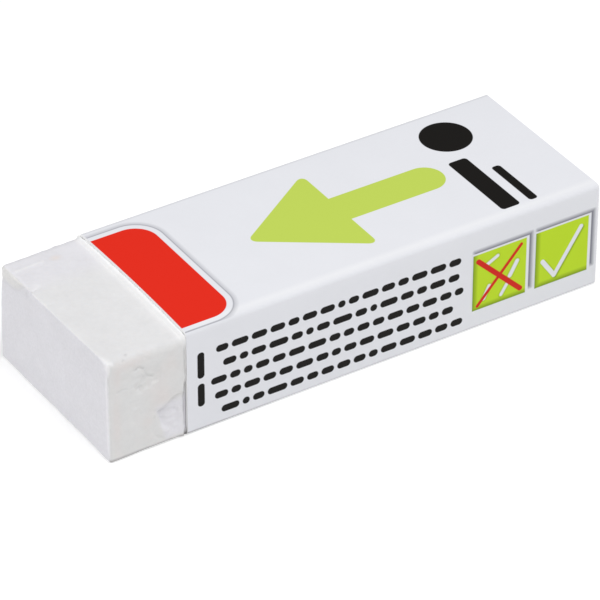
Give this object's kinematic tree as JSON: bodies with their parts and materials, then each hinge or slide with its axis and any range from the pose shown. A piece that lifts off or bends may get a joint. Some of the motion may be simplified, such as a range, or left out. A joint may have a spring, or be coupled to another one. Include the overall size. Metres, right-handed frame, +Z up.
{
  "type": "plastic eraser",
  "caption": "White vinyl eraser block with a worn, swollen bare end, in a snug folded card sleeve that slides back along it.",
  "frame": {"origin": "centre of the bottom face of the box round both pieces, which is the surface the eraser lies on", "axes": "+X along the block from its bare end towards the sleeve's far end, +Y across it towards the sleeve's glued wall, +Z up"},
  "size_m": [0.062, 0.023, 0.0132],
  "materials": {
    "vinyl": "soft matte white vinyl, faintly mottled, handled at its edges",
    "printed_card": "smooth coated white card printed with plain coloured shapes"
  },
  "bodies": {
    "block": {"eraser_block": "vinyl"},
    "sleeve": {"card_sleeve": "printed_card"}
  },
  "joints": [
    {"name": "sleeve_slide", "type": "slide", "parent": "block", "child": "sleeve", "axis": [1, 0, 0], "range_m": [0, 0.052]}
  ]
}
